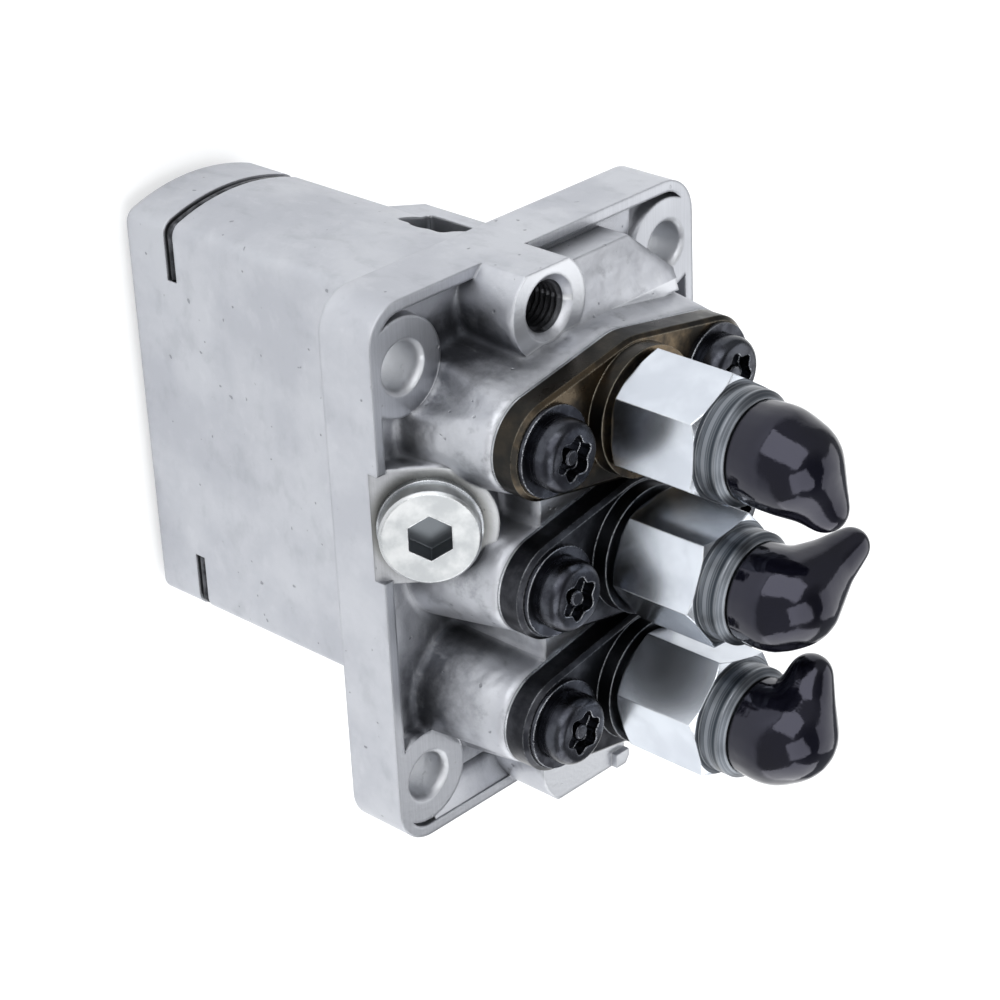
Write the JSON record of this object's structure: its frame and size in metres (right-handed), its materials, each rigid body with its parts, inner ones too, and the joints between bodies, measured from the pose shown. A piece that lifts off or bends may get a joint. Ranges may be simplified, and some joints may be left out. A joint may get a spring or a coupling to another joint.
{
  "type": "diesel injection pump",
  "caption": "In-line diesel injection pump with flange-mounted cast housing, flanged plunger barrels, capped delivery valve holders, control rack and roller tappets.",
  "frame": {"origin": "centre of the flange's mounting face, on the axis of the middle cylinder", "axes": "+X along the row of cylinders, away from the inlet port; +Z along the cylinders in the delivery direction, up when the pump hangs in an engine; +Y towards the control rack"},
  "size_m": [0.0848, 0.0685, 0.1294],
  "materials": {
    "cast_aluminium": "as cast, faces machined",
    "steel_plug": "satin",
    "zinc_plated_steel": "bright zinc plate",
    "copper": "soft copper",
    "black_steel": "black oxide",
    "tempered_steel": "black oxide with a brown temper tint",
    "shim_steel": "rolled sheet",
    "ground_steel": "ground",
    "machined_steel": "machined",
    "spring_steel": "oiled wire",
    "wire_clip": "black spring wire",
    "bronze": "sintered bronze",
    "seal_rubber": "matte",
    "cap_vinyl": "glossy dipped vinyl"
  },
  "bodies": {
    "pump": {"pump_housing": "cast_aluminium", "gallery_plug": "steel_plug", "plug_washer": "copper", "side_plug": "zinc_plated_steel", "flange_shims": "shim_steel", "barrel_o_rings": "seal_rubber", "valve_gaskets": "copper", "upper_spring_seats": "machined_steel", "plain_washers": "black_steel", "spring_washers": "black_steel", "element_screws": "black_steel", "tappet_guide_pins": "ground_steel", "retaining_clip_rack_end": "wire_clip", "retaining_clip_far_end": "wire_clip", "plunger_barrel_1": "tempered_steel", "plunger_barrel_2": "black_steel", "plunger_barrel_3": "black_steel", "delivery_valve_seat_1": "ground_steel", "delivery_valve_seat_2": "ground_steel", "delivery_valve_seat_3": "ground_steel", "delivery_valve_holder_1": "zinc_plated_steel", "delivery_valve_holder_2": "zinc_plated_steel", "delivery_valve_holder_3": "zinc_plated_steel", "delivery_valve_spring_1": "spring_steel", "delivery_valve_spring_2": "spring_steel", "delivery_valve_spring_3": "spring_steel", "plunger_spring_1": "spring_steel", "plunger_spring_2": "spring_steel", "plunger_spring_3": "spring_steel"},
    "rack": {"control_rack": "machined_steel", "rack_link_pin": "ground_steel"},
    "sleeve_1": {"control_sleeve_1": "machined_steel"},
    "sleeve_2": {"control_sleeve_2": "machined_steel"},
    "sleeve_3": {"control_sleeve_3": "machined_steel"},
    "tappet_1": {"roller_tappet_1": "machined_steel", "roller_pin_1": "ground_steel", "roller_bush_1": "bronze", "lower_spring_seat_1": "machined_steel"},
    "plunger_1": {"plunger_1": "ground_steel"},
    "roller_1": {"tappet_roller_1": "ground_steel"},
    "tappet_2": {"roller_tappet_2": "machined_steel", "roller_pin_2": "ground_steel", "roller_bush_2": "bronze", "lower_spring_seat_2": "machined_steel"},
    "plunger_2": {"plunger_2": "ground_steel"},
    "roller_2": {"tappet_roller_2": "ground_steel"},
    "tappet_3": {"roller_tappet_3": "machined_steel", "roller_pin_3": "ground_steel", "roller_bush_3": "bronze", "lower_spring_seat_3": "machined_steel"},
    "plunger_3": {"plunger_3": "ground_steel"},
    "roller_3": {"tappet_roller_3": "ground_steel"},
    "valve_1": {"delivery_valve_1": "ground_steel"},
    "valve_2": {"delivery_valve_2": "ground_steel"},
    "valve_3": {"delivery_valve_3": "ground_steel"},
    "cap_1": {"delivery_cap_1": "cap_vinyl"},
    "cap_2": {"delivery_cap_2": "cap_vinyl"},
    "cap_3": {"delivery_cap_3": "cap_vinyl"}
  },
  "joints": [
    {"name": "rack_slide", "type": "slide", "parent": "pump", "child": "rack", "axis": [1, 0, 0], "range_m": [-0.005, 0.005]},
    {"name": "sleeve_1_turn", "type": "hinge", "parent": "pump", "child": "sleeve_1", "pos_m": [-0.0215, 0, 0], "axis": [0, 0, 1], "range_deg": [-42.4, 42.4]},
    {"name": "sleeve_2_turn", "type": "hinge", "parent": "pump", "child": "sleeve_2", "pos_m": [0, 0, 0], "axis": [0, 0, 1], "range_deg": [-42.4, 42.4]},
    {"name": "sleeve_3_turn", "type": "hinge", "parent": "pump", "child": "sleeve_3", "pos_m": [0.0215, 0, 0], "axis": [0, 0, 1], "range_deg": [-42.4, 42.4]},
    {"name": "tappet_1_lift", "type": "slide", "parent": "pump", "child": "tappet_1", "axis": [0, 0, 1], "range_m": [0, 0.0065], "stiffness_N_per_m": 6000, "springref_m": -0.012, "deforming": ["plunger_spring_1"]},
    {"name": "plunger_1_turn", "type": "hinge", "parent": "tappet_1", "child": "plunger_1", "pos_m": [-0.0215, 0, 0], "axis": [0, 0, 1], "range_deg": [-42.4, 42.4]},
    {"name": "roller_1_spin", "type": "hinge", "parent": "tappet_1", "child": "roller_1", "pos_m": [-0.0215, 0, -0.0605], "axis": [1, 0, 0], "continuous": true},
    {"name": "tappet_2_lift", "type": "slide", "parent": "pump", "child": "tappet_2", "axis": [0, 0, 1], "range_m": [0, 0.0065], "stiffness_N_per_m": 6000, "springref_m": -0.012, "deforming": ["plunger_spring_2"]},
    {"name": "plunger_2_turn", "type": "hinge", "parent": "tappet_2", "child": "plunger_2", "pos_m": [0, 0, 0], "axis": [0, 0, 1], "range_deg": [-42.4, 42.4]},
    {"name": "roller_2_spin", "type": "hinge", "parent": "tappet_2", "child": "roller_2", "pos_m": [0, 0, -0.0605], "axis": [1, 0, 0], "continuous": true},
    {"name": "tappet_3_lift", "type": "slide", "parent": "pump", "child": "tappet_3", "axis": [0, 0, 1], "range_m": [0, 0.0065], "stiffness_N_per_m": 6000, "springref_m": -0.012, "deforming": ["plunger_spring_3"]},
    {"name": "plunger_3_turn", "type": "hinge", "parent": "tappet_3", "child": "plunger_3", "pos_m": [0.0215, 0, 0], "axis": [0, 0, 1], "range_deg": [-42.4, 42.4]},
    {"name": "roller_3_spin", "type": "hinge", "parent": "tappet_3", "child": "roller_3", "pos_m": [0.0215, 0, -0.0605], "axis": [1, 0, 0], "continuous": true},
    {"name": "delivery_valve_1_lift", "type": "slide", "parent": "pump", "child": "valve_1", "axis": [0, 0, 1], "range_m": [0, 0.0018], "stiffness_N_per_m": 400, "springref_m": -0.004, "deforming": ["delivery_valve_spring_1"]},
    {"name": "delivery_valve_2_lift", "type": "slide", "parent": "pump", "child": "valve_2", "axis": [0, 0, 1], "range_m": [0, 0.0018], "stiffness_N_per_m": 400, "springref_m": -0.004, "deforming": ["delivery_valve_spring_2"]},
    {"name": "delivery_valve_3_lift", "type": "slide", "parent": "pump", "child": "valve_3", "axis": [0, 0, 1], "range_m": [0, 0.0018], "stiffness_N_per_m": 400, "springref_m": -0.004, "deforming": ["delivery_valve_spring_3"]},
    {"name": "cap_1_pull", "type": "slide", "parent": "pump", "child": "cap_1", "axis": [0, 0, 1], "range_m": [0, 0.012]},
    {"name": "cap_2_pull", "type": "slide", "parent": "pump", "child": "cap_2", "axis": [0, 0, 1], "range_m": [0, 0.012]},
    {"name": "cap_3_pull", "type": "slide", "parent": "pump", "child": "cap_3", "axis": [0, 0, 1], "range_m": [0, 0.012]}
  ],
  "couplings": [
    {"joint": "sleeve_1_turn", "follows": "rack_slide", "rad_per_m": -146.12},
    {"joint": "sleeve_2_turn", "follows": "rack_slide", "rad_per_m": -146.12},
    {"joint": "sleeve_3_turn", "follows": "rack_slide", "rad_per_m": -146.12},
    {"joint": "plunger_1_turn", "follows": "rack_slide", "rad_per_m": -146.12},
    {"joint": "plunger_2_turn", "follows": "rack_slide", "rad_per_m": -146.12},
    {"joint": "plunger_3_turn", "follows": "rack_slide", "rad_per_m": -146.12}
  ]
}
